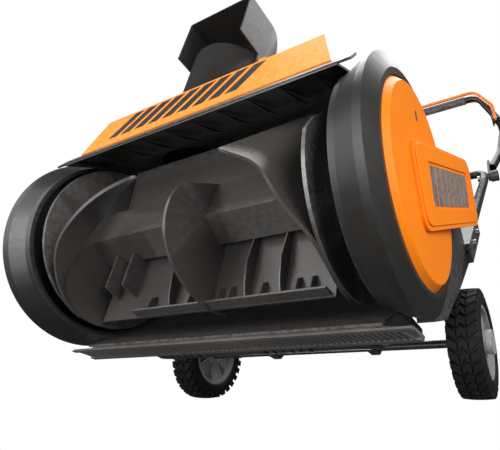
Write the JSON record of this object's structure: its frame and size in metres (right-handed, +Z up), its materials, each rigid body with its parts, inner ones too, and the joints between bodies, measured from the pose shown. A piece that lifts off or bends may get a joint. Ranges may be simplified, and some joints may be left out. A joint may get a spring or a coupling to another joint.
{
  "type": "single stage snowblower",
  "caption": "Walk-behind electric single stage snowblower: belt-driven auger in an open housing, swivelling chute with tilting deflector, transport wheels and fold-down handle with bail.",
  "frame": {"origin": "bottom centre of the whole machine, on the ground under it", "axes": "+Z up, the auger mouth faces -Y, +X is the drive side, to the right when the machine is seen from its mouth"},
  "size_m": [0.6222, 0.9543, 1.04],
  "materials": {
    "black_plastic": "moulded, fine grain",
    "rotor_plastic": "moulded, satin",
    "grey_plastic": "moulded, worn",
    "orange_plastic": "moulded, semi-gloss",
    "orange_paint": "powder coat",
    "rim_plastic": "moulded, satin",
    "tyre_rubber": "matte",
    "belt_rubber": "matte",
    "grip_rubber": "matte",
    "black_tube": "powder coat, semi-gloss",
    "motor_paint": "enamel",
    "nylon": "natural nylon",
    "steel": "zinc plated"
  },
  "bodies": {
    "base": {"auger_housing": "black_plastic", "left_end_cap": "black_plastic", "right_end_cap": "black_plastic", "left_shaft_bearing": "steel", "right_shaft_bearing": "steel", "drive_side_cover": "orange_plastic", "plain_side_cover": "orange_plastic", "hood_cover": "orange_plastic", "scraper_bar": "grey_plastic", "motor": "motor_paint", "drive_belt": "belt_rubber", "chassis": "black_plastic", "motor_cover": "black_plastic", "left_side_arm": "black_plastic", "right_side_arm": "black_plastic", "leg_bolts": "steel", "axle": "steel", "left_axle_clip": "steel", "right_axle_clip": "steel", "lower_frame": "black_tube", "fold_bolts": "steel"},
    "auger": {"auger_shaft": "steel", "auger_rotor": "rotor_plastic", "auger_pulley": "nylon"},
    "motor_rotor": {"motor_shaft": "steel", "motor_fan": "nylon", "motor_pulley": "steel"},
    "left_wheel": {"left_tyre": "tyre_rubber", "left_wheel_rim": "rim_plastic", "left_hub_cap": "rim_plastic"},
    "right_wheel": {"right_tyre": "tyre_rubber", "right_wheel_rim": "rim_plastic", "right_hub_cap": "rim_plastic"},
    "chute": {"chute_tube": "black_plastic", "deflector_pivots": "steel"},
    "deflector": {"deflector": "black_plastic", "deflector_knobs": "orange_plastic"},
    "handle": {"upper_handle": "black_tube", "handle_grip": "grip_rubber", "left_bail_bracket": "black_tube", "right_bail_bracket": "black_tube", "bail_pins": "steel", "switch_box": "black_plastic", "power_inlet": "orange_plastic", "cord_hook": "black_tube"},
    "bail": {"bail": "orange_paint"},
    "button": {"lock_off_button": "orange_plastic"},
    "left_knob": {"left_fold_knob": "black_plastic"},
    "right_knob": {"right_fold_knob": "black_plastic"}
  },
  "joints": [
    {"name": "auger_spin", "type": "hinge", "parent": "base", "child": "auger", "pos_m": [0, -0.3382, 0.15], "axis": [1, 0, 0], "continuous": true},
    {"name": "motor_spin", "type": "hinge", "parent": "base", "child": "motor_rotor", "pos_m": [0, -0.1922, 0.234], "axis": [1, 0, 0], "continuous": true},
    {"name": "left_wheel_spin", "type": "hinge", "parent": "base", "child": "left_wheel", "pos_m": [-0.244, -0.0512, 0.0765], "axis": [1, 0, 0], "continuous": true},
    {"name": "right_wheel_spin", "type": "hinge", "parent": "base", "child": "right_wheel", "pos_m": [0.244, -0.0512, 0.0765], "axis": [1, 0, 0], "continuous": true},
    {"name": "chute_swivel", "type": "hinge", "parent": "base", "child": "chute", "pos_m": [-0.085, -0.3302, 0.325], "axis": [0, 0, 1], "range_deg": [-95, 95]},
    {"name": "deflector_tilt", "type": "hinge", "parent": "chute", "child": "deflector", "pos_m": [-0.085, -0.3302, 0.482], "axis": [1, 0, 0], "range_deg": [0, 45]},
    {"name": "handle_fold", "type": "hinge", "parent": "base", "child": "handle", "pos_m": [0, 0.3528, 0.676], "axis": [1, 0, 0], "range_deg": [0, 118]},
    {"name": "bail_squeeze", "type": "hinge", "parent": "handle", "child": "bail", "pos_m": [0, 0.3878, 0.925], "axis": [-1, 0, 0], "range_deg": [0, 6.5], "stiffness_Nm_per_rad": 0.8, "springref_deg": -20.05},
    {"name": "lock_off_press", "type": "slide", "parent": "handle", "child": "button", "axis": [0, -0.9896, 0.1439], "range_m": [0, 0.004], "stiffness_N_per_m": 250, "springref_m": -0.003},
    {"name": "left_knob_turn", "type": "hinge", "parent": "base", "child": "left_knob", "pos_m": [-0.265, 0.3528, 0.676], "axis": [-1, 0, 0], "range_deg": [0, 720]},
    {"name": "right_knob_turn", "type": "hinge", "parent": "base", "child": "right_knob", "pos_m": [0.265, 0.3528, 0.676], "axis": [1, 0, 0], "range_deg": [0, 720]}
  ],
  "couplings": [
    {"joint": "motor_spin", "follows": "auger_spin", "ratio": 3.3571}
  ]
}
